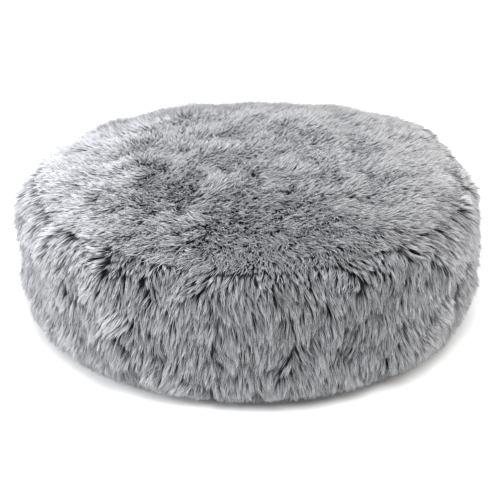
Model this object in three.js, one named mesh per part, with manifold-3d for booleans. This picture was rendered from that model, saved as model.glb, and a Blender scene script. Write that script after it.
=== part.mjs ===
// Round long-pile pet cushion bed: a sewn fur cover with a zip at the back, over a filled inner pad.
// Millimetres, +Z up, the floor at z = 0, the front towards -Y and the zip at the back, towards +Y.
import * as THREE from 'three';
import { mergeVertices } from 'three/addons/utils/BufferGeometryUtils.js';
import Module from 'manifold-3d';

const wasm = await Module();
wasm.setup();

// ---- driving dimensions ----
const OUTER_RADIUS = 300; // over the pile tips, at the widest
const OUTER_HEIGHT = 230; // floor to the pile tips on the crown
const WIDEST_HEIGHT = 142;
const PILE = 24; // pile and its knitted backing
const LINER = 1.2; // wall of the inner pad's cloth
const GAP = 0.3; // between touching pieces
const SLACK = 1.8; // between the soft layers, each inside the next
const CROWN_POWER = 2.17; // roundness of the top: 2 is an ellipse, more is flatter
const WALL_POWER = 6; // roundness of the wall's foot, over the pile tips
const WALL_REACH = 10; // how far below the floor the wall's outline would close
const BACKING_POWER = 9; // roundness of the wall's foot, inside the pile
const PAD_POWER = 7; // roundness of the pad's foot
const TURNS = 60; // facets round the cushion
const CROWN_STEPS = 9; // facets from the widest line to the crown
const WALL_STEPS = 8; // facets from the widest line to the foot

// the seam between the top panel and the wall, sunk in a groove
const SEAM_RADIUS = 271;
const SEAM_HEIGHT = 176;
const SEAM_LIP = 7; // height of the pile roll on each side of the groove
const SEAM_SLOPE = 9; // fall of the joint across the pile, from outside to inside

// base panel: a flat round of woven cloth whose edge turns up to meet the wall
const BASE_THICKNESS = 3;
const BASE_FLAT_RADIUS = 244;
const BASE_EDGE_RADIUS = 264;
const BASE_EDGE_HEIGHT = 14;
const FOOT_CLEARANCE = 2; // pile tips above the floor
const FOOT_TUCK = 3; // how far the pile curls in under the base's edge
const FOOT_THICKNESS = 4; // radial thickness of the wall's pile where it ends above the floor

// zip, an arc round the back
const ZIP_RADIUS = 268;
const ZIP_MIDDLE_HEIGHT = 18.7;
const ZIP_LENGTH = 400; // along the arc, between the stops
const ZIP_TOP = 30; // the wall's lower edge above the zip
const ZIP_FOOT = 8; // lower edge of the lower tape
const TAPE_THICKNESS = 0.8;
const COIL_WIDTH = 2.8;
const COIL_DEPTH = 2.4;
const COIL_GAP = 1.2; // between the two coils, where the slider's neck passes
const STOP_LENGTH = 3;
const TAPE_TAIL = 8; // tape past each stop
const END_TAB_LENGTH = 18;
const LABEL_SIDE_LENGTH = 50; // the end tab on the label's side is longer
const END_TAB_THICKNESS = 2.4;
const LABEL_WIDTH = 24;
const LABEL_INSET = 4; // from the end tab's outer end to the label
const LABEL_DROP = 22;
const LABEL_THICKNESS = 0.9;

// slider and pull tab
const SLIDER_LENGTH = 13;
const SLIDER_WIDTH = 12;
const SLIDER_REST = 10; // slider's middle from the closed end of the coils
const PLATE = 1.4;
const PLATE_GAP = 3.9; // between the slider's two plates
const FLANGE = 1.1;
const NECK_THICKNESS = 0.5;
const NECK_LENGTH = 3;
const BRIDGE_LENGTH = 8;
const BRIDGE_WIDTH = 2.4;
const BRIDGE_HEIGHT = 3.6;
const BRIDGE_WALL = 1.4;
const TAB_LENGTH = 26;
const TAB_WIDTH = 9;
const TAB_THICKNESS = 1.3;
const TAB_BAR = 1.2; // the tab's bar under the bridge
const TAB_WINDOW = 3.2; // opening for the bridge, across the tab

const BACK = Math.PI / 2; // azimuth of the middle of the zip
// The azimuth at a distance along the zip's arc from its closed end.
const zipAngle = (along) => BACK + (ZIP_LENGTH / 2 - along) / ZIP_RADIUS;

const FUR = { color: 0x9a9da3, roughness: 0.95, metalness: 0 };
const BASE_CLOTH = { color: 0x2c2f35, roughness: 0.9, metalness: 0 };
const TAPE = { color: 0x3a3e45, roughness: 0.85, metalness: 0 };
const NYLON = { color: 0x34383f, roughness: 0.45, metalness: 0 };
const METAL = { color: 0x9c9fa3, roughness: 0.35, metalness: 1 };
const LABEL = { color: 0xe9e7e0, roughness: 0.6, metalness: 0 };
const LINER_CLOTH = { color: 0xdfe0e0, roughness: 0.85, metalness: 0 };
const FIBRE = { color: 0xf2f2ef, roughness: 1, metalness: 0 };

// ---- solids ----
function toSolid(geometry) {
  const plain = (geometry.index ? geometry.toNonIndexed() : geometry).clone();
  plain.deleteAttribute('normal');
  plain.deleteAttribute('uv');
  const merged = mergeVertices(plain, 1e-4);
  const corners = [];
  for (let i = 0; i < merged.index.count; i += 3) {
    const [a, b, c] = [0, 1, 2].map((k) => merged.index.getX(i + k));
    if (a !== b && b !== c && c !== a) corners.push(a, b, c);
  }
  const vertProperties = merged.attributes.position.array;
  const make = (list) => new wasm.Manifold(
    new wasm.Mesh({ numProp: 3, vertProperties, triVerts: new Uint32Array(list) }));
  const solid = make(corners);
  return solid.volume() > 0 ? solid : make(corners.reverse());
}

function toGeometry(solid) {
  const { vertProperties, triVerts } = solid.getMesh();
  const geometry = new THREE.BufferGeometry();
  geometry.setAttribute('position', new THREE.BufferAttribute(new Float32Array(vertProperties), 3));
  geometry.setIndex(new THREE.BufferAttribute(new Uint32Array(triVerts), 1));
  geometry.computeVertexNormals();
  return geometry;
}

function mesh(name, solid, finish) {
  const made = new THREE.Mesh(toGeometry(solid), new THREE.MeshStandardMaterial(finish));
  made.name = name;
  return made;
}

// A profile of [radius, height] points turned round the cushion's axis.
function turned(profile) {
  const geometry = new THREE.LatheGeometry(profile.map(([r, z]) => new THREE.Vector2(r, z)), TURNS);
  return toSolid(geometry.rotateX(Math.PI / 2));
}

// A closed loop turned round the axis.
const ring = (loop) => turned([...loop, loop[0]]);

function box(x0, x1, y0, y1, z0, z1) {
  const geometry = new THREE.BoxGeometry(x1 - x0, y1 - y0, z1 - z0);
  return toSolid(geometry.translate((x0 + x1) / 2, (y0 + y1) / 2, (z0 + z1) / 2));
}

// An outline in X and Y, extruded from z0 to z1.
function plate(shape, z0, z1, curveSegments = 6) {
  const geometry = new THREE.ExtrudeGeometry(
    shape, { depth: z1 - z0, bevelEnabled: false, curveSegments });
  return toSolid(geometry.translate(0, 0, z0));
}

// A curved bar between two radii, two heights and two distances along the zip.
function zipBar(r0, r1, z0, z1, start, end) {
  const [from, to] = [zipAngle(end), zipAngle(start)];
  const shape = new THREE.Shape();
  shape.absarc(0, 0, r1, from, to, false);
  shape.absarc(0, 0, r0, to, from, true);
  const facets = Math.max(2, Math.ceil((to - from) / (Math.PI / TURNS)));
  return plate(shape, z0, z1, facets);
}

// ---- outlines of the soft body ----
// The rounded outline, moved in by inset: height as a function of the angle t from the widest line.
function crown(inset, t) {
  const radius = (OUTER_RADIUS - inset) * Math.cos(t) ** (2 / CROWN_POWER);
  const rise = (OUTER_HEIGHT - inset - WIDEST_HEIGHT) * Math.sin(t) ** (2 / CROWN_POWER);
  return [t === Math.PI / 2 ? 0 : radius, WIDEST_HEIGHT + rise];
}

function wall(inset, foot, power, height) {
  const drop = (WIDEST_HEIGHT - height) / (WIDEST_HEIGHT - foot);
  return [(OUTER_RADIUS - inset) * (1 - drop ** power) ** (1 / power), height];
}

// The angle at which the crown's outline passes a height.
function crownAngle(inset, height) {
  const share = (height - WIDEST_HEIGHT) / (OUTER_HEIGHT - inset - WIDEST_HEIGHT);
  return Math.asin(share ** (CROWN_POWER / 2));
}

// Points up the crown from one height to the axis.
function crownPoints(inset, height) {
  const start = crownAngle(inset, height);
  return Array.from({ length: CROWN_STEPS + 1 },
    (_, i) => crown(inset, i === CROWN_STEPS ? Math.PI / 2
      : start + (Math.PI / 2 - start) * i / CROWN_STEPS));
}

// Points of the crown's outline between two heights.
function shoulderPoints(inset, low, high, steps) {
  const [a, b] = [crownAngle(inset, low), crownAngle(inset, high)];
  return Array.from({ length: steps + 1 }, (_, i) => crown(inset, a + (b - a) * i / steps));
}

// Points up the wall, closer together near the foot.
function wallPoints(inset, foot, power, low) {
  return Array.from({ length: WALL_STEPS },
    (_, i) => wall(inset, foot, power, low + (WIDEST_HEIGHT - low) * (i / WALL_STEPS) ** 2));
}

// ---- cover ----
function topPanel() {
  const groove = [SEAM_RADIUS, SEAM_HEIGHT + GAP / 2];
  const outside = crownPoints(0, SEAM_HEIGHT + SEAM_LIP);
  const inside = crownPoints(PILE, SEAM_HEIGHT - SEAM_SLOPE + GAP / 2);
  return turned([...inside.reverse(), groove, ...outside]);
}

function wallRing() {
  const groove = [SEAM_RADIUS, SEAM_HEIGHT - GAP / 2];
  const foot = BASE_EDGE_HEIGHT + 2 * GAP;
  const outside = [
    [BASE_EDGE_RADIUS + 4 * GAP, foot],
    [BASE_EDGE_RADIUS - FOOT_TUCK, FOOT_CLEARANCE],
    [BASE_EDGE_RADIUS - FOOT_TUCK + FOOT_THICKNESS, FOOT_CLEARANCE],
    ...wallPoints(0, -WALL_REACH, WALL_POWER, FOOT_CLEARANCE + PILE / 3),
    ...shoulderPoints(0, WIDEST_HEIGHT, SEAM_HEIGHT - SEAM_LIP, 3),
  ];
  const inside = [
    ...wallPoints(PILE, 2 * GAP, BACKING_POWER, foot + GAP),
    ...shoulderPoints(PILE, WIDEST_HEIGHT, SEAM_HEIGHT - SEAM_SLOPE - GAP / 2, 3),
  ];
  return ring([...outside, groove, ...inside.reverse()]);
}

// One half of the wall: side is -1 for the front and 1 for the back.
function halfWall(side) {
  const far = 2 * OUTER_RADIUS * side;
  const near = GAP / 2 * side;
  return box(-2 * OUTER_RADIUS, 2 * OUTER_RADIUS, Math.min(near, far), Math.max(near, far),
    -OUTER_HEIGHT, 2 * OUTER_HEIGHT).intersect(wallRing());
}

function basePanel() {
  const t = BASE_THICKNESS;
  const [r, z] = [BASE_EDGE_RADIUS, BASE_EDGE_HEIGHT];
  return turned([
    [0, 0], [BASE_FLAT_RADIUS, 0], [r - 8, z / 4], [r - 2, z * 2 / 3], [r, z],
    [r - t, z], [r - 2 - t, z * 3 / 4], [r - 9, z / 4 + t], [BASE_FLAT_RADIUS - 1, t], [0, t],
  ]);
}

// ---- zip ----
// Distances along the zip, from its closed end, where the slider rests.
const TAPE_START = -STOP_LENGTH - TAPE_TAIL;
const TAPE_END = ZIP_LENGTH + STOP_LENGTH + TAPE_TAIL;
const RECESS_START = TAPE_START - LABEL_SIDE_LENGTH - 2 * GAP;
const RECESS_END = TAPE_END + END_TAB_LENGTH + 2 * GAP;

function recess() {
  return zipBar(ZIP_RADIUS - 4 * PILE, 2 * OUTER_RADIUS, -PILE, ZIP_TOP, RECESS_START, RECESS_END);
}

// A strip centred on the zip's radius.
function strip(thickness, low, high, start, end) {
  const half = thickness / 2;
  return zipBar(ZIP_RADIUS - half, ZIP_RADIUS + half, low, high, start, end);
}

// A bar of the coil's section: side is 1 for the upper row and -1 for the lower.
function coilBar(side, start, end, extra = 0) {
  const near = ZIP_MIDDLE_HEIGHT + side * COIL_GAP / 2;
  const far = near + side * COIL_WIDTH;
  return strip(COIL_DEPTH + 2 * extra, Math.min(near, far), Math.max(near, far), start, end);
}

const COIL_EDGE = COIL_GAP / 2 + COIL_WIDTH; // from the zip's middle line to a coil's far side

function tape(low, high) {
  return strip(TAPE_THICKNESS, low, high, TAPE_START, TAPE_END);
}

function topStop(side) {
  return coilBar(side, -STOP_LENGTH, -GAP, GAP);
}

function bottomStop() {
  return strip(COIL_DEPTH + 2 * GAP, ZIP_MIDDLE_HEIGHT - COIL_EDGE, ZIP_MIDDLE_HEIGHT + COIL_EDGE,
    ZIP_LENGTH + GAP, ZIP_LENGTH + STOP_LENGTH);
}

function endTab(start, end) {
  return strip(END_TAB_THICKNESS, ZIP_FOOT, ZIP_TOP - GAP, start, end);
}

function careLabel() {
  const face = ZIP_RADIUS + END_TAB_THICKNESS / 2 + GAP;
  const start = TAPE_START - LABEL_SIDE_LENGTH + LABEL_INSET;
  return zipBar(face, face + LABEL_THICKNESS, ZIP_TOP - GAP - LABEL_DROP, ZIP_TOP - GAP,
    start, start + LABEL_WIDTH);
}

// The slider and its tab are made in a frame of their own: Y outwards from the cushion, Z across the
// zip and X towards its closed end, with the origin on the zip's middle line.
// A plate is drawn in X and Y, then stood up so that its outline lies in X and Z.
function sliderPlate(y0) {
  const [nose, tail] = [SLIDER_LENGTH / 2, -SLIDER_LENGTH / 2];
  const [wide, narrow, corner] = [SLIDER_WIDTH / 2, SLIDER_WIDTH / 2 - 1.2, 1.6];
  const shape = new THREE.Shape();
  shape.moveTo(tail + corner, -narrow);
  shape.lineTo(0, -narrow);
  shape.quadraticCurveTo(nose, -wide, nose, -wide + 2 * corner);
  shape.lineTo(nose, wide - 2 * corner);
  shape.quadraticCurveTo(nose, wide, 0, narrow);
  shape.lineTo(tail + corner, narrow);
  shape.quadraticCurveTo(tail, narrow, tail, narrow - corner);
  shape.lineTo(tail, -narrow + corner);
  shape.quadraticCurveTo(tail, -narrow, tail + corner, -narrow);
  return plate(shape, -y0 - PLATE, -y0).rotate([90, 0, 0]);
}

// Two plates joined by the neck at the nose, with flanges along their edges and the bridge on top.
function slider() {
  const half = PLATE_GAP / 2;
  const reach = SLIDER_WIDTH / 2 - 1.2;
  const flangeEnd = TAPE_THICKNESS / 2 + 1.4 * GAP;
  let body = sliderPlate(half).add(sliderPlate(-half - PLATE));
  for (const side of [-1, 1]) {
    const [low, high] = [side * reach, side * (reach - FLANGE)].sort((a, b) => a - b);
    body = body.add(box(-SLIDER_LENGTH / 2 + 1.6, 0, flangeEnd, half + 0.1, low, high));
    body = body.add(box(-SLIDER_LENGTH / 2 + 1.6, 0, -half - 0.1, -flangeEnd, low, high));
  }
  const nose = SLIDER_LENGTH / 2 - 1;
  body = body.add(box(nose - NECK_LENGTH, nose, -half - 0.1, half + 0.1,
    -NECK_THICKNESS / 2, NECK_THICKNESS / 2));
  return body.add(bridge());
}

function bridge() {
  const base = PLATE_GAP / 2 + PLATE;
  const [half, wide] = [BRIDGE_LENGTH / 2, BRIDGE_WIDTH / 2];
  const inside = half - BRIDGE_WALL;
  const arch = box(-half, half, base - 0.1, base + BRIDGE_HEIGHT, -wide, wide);
  const opening = box(
    -inside, inside, base - 1, base + BRIDGE_HEIGHT - BRIDGE_WALL, -2 * wide, 2 * wide);
  return arch.subtract(opening);
}

const TAB_AXIS = PLATE_GAP / 2 + PLATE + (BRIDGE_HEIGHT - BRIDGE_WALL) / 2; // out from the zip

// A plate with a window for the bridge and a round eye at its free end, its bar on the joint's axis.
function pullTab() {
  const [half, round] = [TAB_WIDTH / 2, 2.5];
  const root = TAB_WINDOW / 2 + 1.5;
  const windowEnd = BRIDGE_LENGTH / 2 + 1.4;
  const outline = new THREE.Shape();
  outline.moveTo(TAB_BAR / 2, -root);
  outline.lineTo(TAB_BAR / 2, root);
  outline.lineTo(-windowEnd, root);
  outline.quadraticCurveTo(-windowEnd - round, half, -windowEnd - 2 * round, half);
  outline.lineTo(-TAB_LENGTH + round, half);
  outline.quadraticCurveTo(-TAB_LENGTH, half, -TAB_LENGTH, half - round);
  outline.lineTo(-TAB_LENGTH, -half + round);
  outline.quadraticCurveTo(-TAB_LENGTH, -half, -TAB_LENGTH + round, -half);
  outline.lineTo(-windowEnd - 2 * round, -half);
  outline.quadraticCurveTo(-windowEnd - round, -half, -windowEnd, -root);
  outline.closePath();
  const opening = new THREE.Path();
  opening.moveTo(-TAB_BAR / 2, -TAB_WINDOW / 2);
  opening.lineTo(-windowEnd, -TAB_WINDOW / 2);
  opening.lineTo(-windowEnd, TAB_WINDOW / 2);
  opening.lineTo(-TAB_BAR / 2, TAB_WINDOW / 2);
  opening.closePath();
  const eye = new THREE.Path();
  eye.absarc(-TAB_LENGTH + half + 0.5, 0, half / 2, 0, 2 * Math.PI, false);
  outline.holes.push(opening, eye);
  return plate(outline, -TAB_THICKNESS / 2, TAB_THICKNESS / 2).rotate([90, 0, 0]);
}

// ---- inner pad ----
const LINER_SEAM = SEAM_HEIGHT - SEAM_SLOPE - 6;
const LINER_FOOT = 24;
const PAD_FLOOR = BASE_THICKNESS + GAP;
const PAD_INSET = PILE + SLACK;

function linerTop() {
  const [outer, inner] = [PAD_INSET, PAD_INSET + LINER];
  return turned([...crownPoints(inner, LINER_SEAM).reverse(), ...crownPoints(outer, LINER_SEAM)]);
}

function linerWall() {
  const [outer, inner] = [PAD_INSET, PAD_INSET + LINER];
  const top = LINER_SEAM - GAP;
  const side = (inset) => [
    ...wallPoints(inset, PAD_FLOOR, PAD_POWER, LINER_FOOT),
    ...shoulderPoints(inset, WIDEST_HEIGHT, top, 2),
  ];
  return ring([...side(outer), ...side(inner).reverse()]);
}

// The lower outline of the pad, from its flat underside up to the foot of the liner's wall.
function padFloor(inset, foot, top) {
  const steps = 6;
  const rim = Array.from({ length: steps + 1 }, (_, i) => {
    const share = (i / steps) ** 2;
    return wall(inset, foot, PAD_POWER, foot + 0.5 + (top - foot - 0.5) * share);
  });
  return [[0, foot], [rim[0][0], foot], ...rim.slice(1)];
}

function linerBase() {
  const top = LINER_FOOT - GAP;
  const outer = padFloor(PAD_INSET, PAD_FLOOR, top);
  const inner = padFloor(PAD_INSET + LINER, PAD_FLOOR + LINER, top);
  return turned([...outer, ...inner.reverse()]);
}

function fibreFill() {
  const inset = PAD_INSET + LINER + SLACK;
  const foot = PAD_FLOOR + LINER + GAP;
  return turned([
    ...padFloor(inset, foot, LINER_FOOT),
    ...wallPoints(inset, foot, PAD_POWER, LINER_FOOT).slice(1),
    ...shoulderPoints(inset, WIDEST_HEIGHT, LINER_SEAM, 2).slice(0, -1),
    ...crownPoints(inset, LINER_SEAM),
  ]);
}

// ---- assembly ----
const group = new THREE.Group();

group.add(mesh('top_panel', topPanel(), FUR));
group.add(mesh('side_wall_front', halfWall(-1), FUR));
group.add(mesh('side_wall_back', halfWall(1).subtract(recess()), FUR));
group.add(mesh('base_panel', basePanel(), BASE_CLOTH));

const tapeEdge = COIL_EDGE + GAP;
group.add(mesh('zip_tape_upper', tape(ZIP_MIDDLE_HEIGHT + tapeEdge, ZIP_TOP - GAP), TAPE));
group.add(mesh('zip_tape_lower', tape(ZIP_FOOT, ZIP_MIDDLE_HEIGHT - tapeEdge), TAPE));
for (const [row, side] of [['upper', 1], ['lower', -1]]) {
  group.add(mesh(`zip_coil_${row}`, coilBar(side, 0, ZIP_LENGTH), NYLON));
  group.add(mesh(`zip_top_stop_${row}`, topStop(side), METAL));
}
group.add(mesh('zip_bottom_stop', bottomStop(), METAL));
group.add(mesh('zip_end_tab_left',
  endTab(TAPE_START - LABEL_SIDE_LENGTH, TAPE_START - GAP), BASE_CLOTH));
group.add(mesh('zip_end_tab_right',
  endTab(TAPE_END + GAP, TAPE_END + END_TAB_LENGTH), BASE_CLOTH));
group.add(mesh('care_label', careLabel(), LABEL));

// the slider and the tab stand where the zip is closed, turned to face outwards there
const sliderAngle = zipAngle(SLIDER_REST);
const zipper = new THREE.Group();
zipper.rotation.z = sliderAngle - BACK;
zipper.position.set(
  ZIP_RADIUS * Math.cos(sliderAngle), ZIP_RADIUS * Math.sin(sliderAngle), ZIP_MIDDLE_HEIGHT);
const towardsClosedEnd = new THREE.Group();
towardsClosedEnd.rotation.y = Math.PI;
towardsClosedEnd.add(mesh('zip_slider', slider(), METAL));
const tab = mesh('zip_pull_tab', pullTab(), METAL);
tab.position.y = TAB_AXIS;
towardsClosedEnd.add(tab);
zipper.add(towardsClosedEnd);
group.add(zipper);

group.add(mesh('liner_top', linerTop(), LINER_CLOTH));
group.add(mesh('liner_wall', linerWall(), LINER_CLOTH));
group.add(mesh('liner_base', linerBase(), LINER_CLOTH));
group.add(mesh('fibre_fill', fibreFill(), FIBRE));

export default group;
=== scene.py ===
import math

import bpy
import numpy as np
from bpy.props import FloatProperty, FloatVectorProperty, IntProperty, PointerProperty
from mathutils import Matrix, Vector
from mathutils.bvhtree import BVHTree
from mathutils.kdtree import KDTree


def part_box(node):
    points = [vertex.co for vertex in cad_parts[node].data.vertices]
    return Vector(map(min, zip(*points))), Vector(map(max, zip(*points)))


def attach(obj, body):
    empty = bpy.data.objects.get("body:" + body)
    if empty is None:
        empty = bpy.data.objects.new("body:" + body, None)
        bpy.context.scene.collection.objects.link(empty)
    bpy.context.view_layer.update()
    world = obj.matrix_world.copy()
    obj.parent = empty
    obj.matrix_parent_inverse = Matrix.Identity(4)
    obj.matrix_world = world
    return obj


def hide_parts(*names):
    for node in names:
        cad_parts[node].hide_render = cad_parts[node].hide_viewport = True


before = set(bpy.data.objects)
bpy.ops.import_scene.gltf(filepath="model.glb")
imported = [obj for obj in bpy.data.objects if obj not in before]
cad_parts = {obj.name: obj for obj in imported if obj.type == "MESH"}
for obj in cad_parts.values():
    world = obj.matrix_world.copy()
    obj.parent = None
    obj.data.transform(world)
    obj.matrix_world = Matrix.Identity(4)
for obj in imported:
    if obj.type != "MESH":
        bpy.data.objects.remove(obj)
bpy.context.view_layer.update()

bl_info = {
    "name": "Long-pile pet cushion bed",
    "version": (1, 0, 0),
    "blender": (4, 5, 0),
    "location": "View3D > Sidebar > Cushion",
    "description": "Builds the fur cover, base, zip, label and inner pad of a round pet cushion bed",
    "category": "Object",
}

# ---- places taken from the frame ----
OUTER_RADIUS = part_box("side_wall_front")[1].x
OUTER_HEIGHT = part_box("top_panel")[1].z
SEAM_RADIUS = 0.271
SEAM_LINE = 0.172  # height at which the top panel's backing meets the wall's
WALL_FOOT = 0.0125  # lower edge of the wall's backing
WIDEST_HEIGHT = 0.142
CROWN_POWER = 2.17  # how square the section is: of the crown, of the wall's pile and of its backing
WALL_POWER = 6.0
BACKING_POWER = 9.0
WALL_REACH = 0.010
COIL_LOW, COIL_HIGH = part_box("zip_coil_lower")[0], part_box("zip_coil_upper")[1]
ZIP_MIDDLE = (COIL_LOW.z + COIL_HIGH.z) / 2
ZIP_RADIUS = COIL_HIGH.y - 0.0012
ZIP_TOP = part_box("zip_end_tab_left")[1].z
HEM = ZIP_TOP - 0.001  # lower edge of the wall's backing above the zip
GOLDEN = math.pi * (3 - math.sqrt(5))
LINER_DEPTH = 0.0060  # from the cover's form in to the liner
BASE_CLEAR = 0.0008  # the grip dots stand this far below the base cloth
GRIP_RADIUS = 0.0026
TAPE_HALF = 0.0004
PILE_MAP = "OFBake"  # the strands' map: shade across, root to tip up
FORM = "stuffed_form"
FORM_SEGMENTS = 96
FILLING_SWELL = 0.003  # how far the filling pushes the cover out, about
FILLING_CAP = 0.014  # the farthest it may push a point
TUFT_SPACING = 0.026
STRAND_LIMIT = 19990  # strands in a piece, at 10 triangles each
COIL_DEPTH = 0.0024
COIL_WIDTH = 0.0028
COIL_BITE = 0.0009  # how far the loops of one row reach in past their CAD bar
COIL_WIRE = 0.00038
COIL_PITCH = 0.0015
# bulges of the filling: azimuth in degrees, radius, height, size and rise
BULGES = ((33, 0.27, 0.185, 0.085, 0.014), (-172, 0.28, 0.165, 0.07, 0.006), (100, 0.16, 0.22, 0.10, 0.004),
          (-122, 0.27, 0.07, 0.06, 0.005), (-70, 0.27, 0.14, 0.05, -0.004))
FLAT_CLOTH_HEIGHT = 0.006  # cloth lower than this lies flat on the floor


def zip_recess():
    """The azimuths between which the wall stops above the zip."""
    tab_left, tab_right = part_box("zip_end_tab_left"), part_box("zip_end_tab_right")
    left = math.atan2(tab_left[0].y, tab_left[0].x)
    right = math.atan2(tab_right[0].y, tab_right[1].x)
    return right, left


RECESS_FROM, RECESS_TO = zip_recess()


def zip_ends():
    """The azimuths of the two ends of the coils."""
    low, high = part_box("zip_coil_upper")
    return math.atan2(low.y, high.x), math.atan2(low.y, low.x)


ZIP_OPEN, ZIP_CLOSED = zip_ends()


# ---- sizes and colours a user would change ----
class PileSettings(bpy.types.PropertyGroup):
    """Length, lie and colours of the fur."""
    top_length: FloatProperty(
        name="Top pile", description="Length of the pile on the top panel",
        default=0.025, unit="LENGTH")
    wall_length: FloatProperty(
        name="Wall pile", description="Length of the pile on the wall",
        default=0.029, unit="LENGTH")
    width: FloatProperty(
        name="Strand width", description="Radius of a strand at its thickest",
        default=0.00055, unit="LENGTH")
    per_piece: IntProperty(
        name="Strands in a piece", description="Strands planted on one sector of a panel",
        default=18900)
    top_lock: FloatProperty(
        name="Top locks", description="Distance between neighbouring locks on the top panel",
        default=0.0034, unit="LENGTH")
    wall_lock: FloatProperty(
        name="Wall locks", description="Distance between neighbouring locks on the wall",
        default=0.0054, unit="LENGTH")
    root_colour: FloatVectorProperty(
        name="Root", description="Colour at the backing", subtype="COLOR",
        default=(0.009, 0.012, 0.022), min=0, max=1)
    tip_colour: FloatVectorProperty(
        name="Tip", description="Colour at the tips", subtype="COLOR",
        default=(0.62, 0.628, 0.65), min=0, max=1)


class CoverSettings(bpy.types.PropertyGroup):
    """The sewn cover under the pile."""
    backing_inset: FloatProperty(
        name="Backing inset", description="From the pile tips in to the knitted backing",
        default=0.020, unit="LENGTH")
    cloth: FloatProperty(
        name="Cloth", description="Thickness of the knitted backing",
        default=0.002, unit="LENGTH")
    pressure: FloatProperty(
        name="Filling pressure", description="How hard the filling presses on the cover",
        default=4.0)
    voxel: FloatProperty(
        name="Mesh size", description="Size of the cover's faces in the simulation",
        default=0.008, unit="LENGTH")


SETTINGS = {"cushion_pile": PileSettings, "cushion_cover": CoverSettings}


# ---- small tools ----
def deselect_all():
    if bpy.context.object and bpy.context.object.mode != "OBJECT":
        bpy.ops.object.mode_set(mode="OBJECT")
    bpy.ops.object.select_all(action="DESELECT")


def choose(piece):
    deselect_all()
    piece.select_set(True)
    bpy.context.view_layer.objects.active = piece


def edit_all(piece=None):
    """Enters edit mode with everything selected."""
    if piece:
        choose(piece)
    bpy.ops.object.mode_set(mode="EDIT")
    bpy.ops.mesh.select_all(action="SELECT")


def leave_edit():
    bpy.ops.object.mode_set(mode="OBJECT")


def radii_of(points):
    return np.hypot(points[:, 0], points[:, 1])


def azimuths_of(points):
    return np.arctan2(points[:, 1], points[:, 0])


def turned_places(radius, azimuth, height):
    """Points from their radii, azimuths and heights."""
    return np.stack([radius * np.cos(azimuth), radius * np.sin(azimuth), height], 1)


def smooth_noise(points, size, seed, waves=14):
    """A smooth random value from about -1 to 1 for each point, with lumps about size across."""
    rng = np.random.default_rng(seed)
    directions = rng.normal(size=(waves, 3))
    directions /= np.linalg.norm(directions, axis=1)[:, None]
    turns = rng.uniform(0.6, 1.6, waves) * 2 * math.pi / (2 * size)
    phases = rng.uniform(0, 2 * math.pi, waves)
    waves_at = np.sin(points @ (directions * turns[:, None]).T + phases)
    return waves_at.sum(1) / math.sqrt(waves / 2) * 0.6


def smooth_step(value):
    value = np.clip(value, 0, 1)
    return value * value * (3 - 2 * value)


def unit(vectors):
    return vectors / np.maximum(np.linalg.norm(vectors, axis=1), 1e-9)[:, None]


def crown_outline(inset, share):
    """Radius and height on the crown: share runs from 0 at the widest line to 1 at the top."""
    angle = share * math.pi / 2
    radius = (OUTER_RADIUS - inset) * math.cos(angle) ** (2 / CROWN_POWER)
    rise = (OUTER_HEIGHT - inset - WIDEST_HEIGHT) * math.sin(angle) ** (2 / CROWN_POWER)
    return radius, WIDEST_HEIGHT + rise


def wall_outline(inset, height):
    """Radius and height of the wall's backing."""
    drop = min(1.0, (WIDEST_HEIGHT - height) / (WIDEST_HEIGHT + 0.002))
    return (OUTER_RADIUS - inset) * (1 - drop ** BACKING_POWER) ** (1 / BACKING_POWER), height


def body_outline(inset):
    """Points of the cushion's section, from the floor's middle outwards, up and in to the crown."""
    low = [wall_outline(inset, z) for z in (0.002, 0.004, 0.008, 0.014, 0.022, 0.035, 0.055, 0.08, 0.11)]
    high = [crown_outline(inset, s) for s in np.linspace(0, 0.97, 18)]
    return low + high


# ---- mesh tools ----
def finish_piece(piece, name, body, material, nodes=()):
    """Names a finished piece, gives it its material and puts it on its body."""
    piece.name = piece.data.name = name
    piece.data.materials.clear()
    piece.data.materials.append(material)
    choose(piece)
    bpy.ops.object.transform_apply(location=True, rotation=True, scale=True)
    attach(piece, body)
    if nodes:
        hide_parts(*nodes)
    return piece


def turned_solid(name, outline, segments):
    """A disc extruded and scaled along an outline of radii and heights, closed at both ends."""
    deselect_all()
    bpy.ops.mesh.primitive_circle_add(
        vertices=segments, radius=outline[0][0], fill_type="NGON", location=(0, 0, outline[0][1]))
    piece = bpy.context.object
    piece.name = name
    edit_all()
    for (before, low), (after, high) in zip(outline, outline[1:]):
        bpy.ops.mesh.extrude_region_move(TRANSFORM_OT_translate={"value": (0, 0, high - low)})
        bpy.ops.transform.resize(
            value=(after / before, after / before, 1), center_override=(0, 0, high))
    close_and_face_out()
    return piece


def close_and_face_out():
    """In edit mode: merges doubles, fills holes and turns all faces outwards, then leaves edit mode."""
    bpy.ops.mesh.select_mode(type="VERT")
    bpy.ops.mesh.select_all(action="SELECT")
    bpy.ops.mesh.remove_doubles(threshold=1e-6)
    bpy.ops.mesh.select_all(action="DESELECT")
    bpy.ops.mesh.select_non_manifold(
        use_wire=False, use_multi_face=False, use_non_contiguous=False, use_verts=False)
    bpy.ops.mesh.fill_holes(sides=0)
    bpy.ops.mesh.select_all(action="SELECT")
    bpy.ops.mesh.normals_make_consistent(inside=False)
    leave_edit()


def apply_modifiers(piece):
    choose(piece)
    for modifier in list(piece.modifiers):
        bpy.ops.object.modifier_apply(modifier=modifier.name)


def coordinates(mesh):
    flat = np.empty(len(mesh.vertices) * 3, np.float32)
    mesh.vertices.foreach_get("co", flat)
    return flat.reshape(-1, 3).astype(np.float64)


def set_coordinates(mesh, points):
    mesh.vertices.foreach_set("co", np.asarray(points, np.float32).ravel())
    mesh.update()


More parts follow.
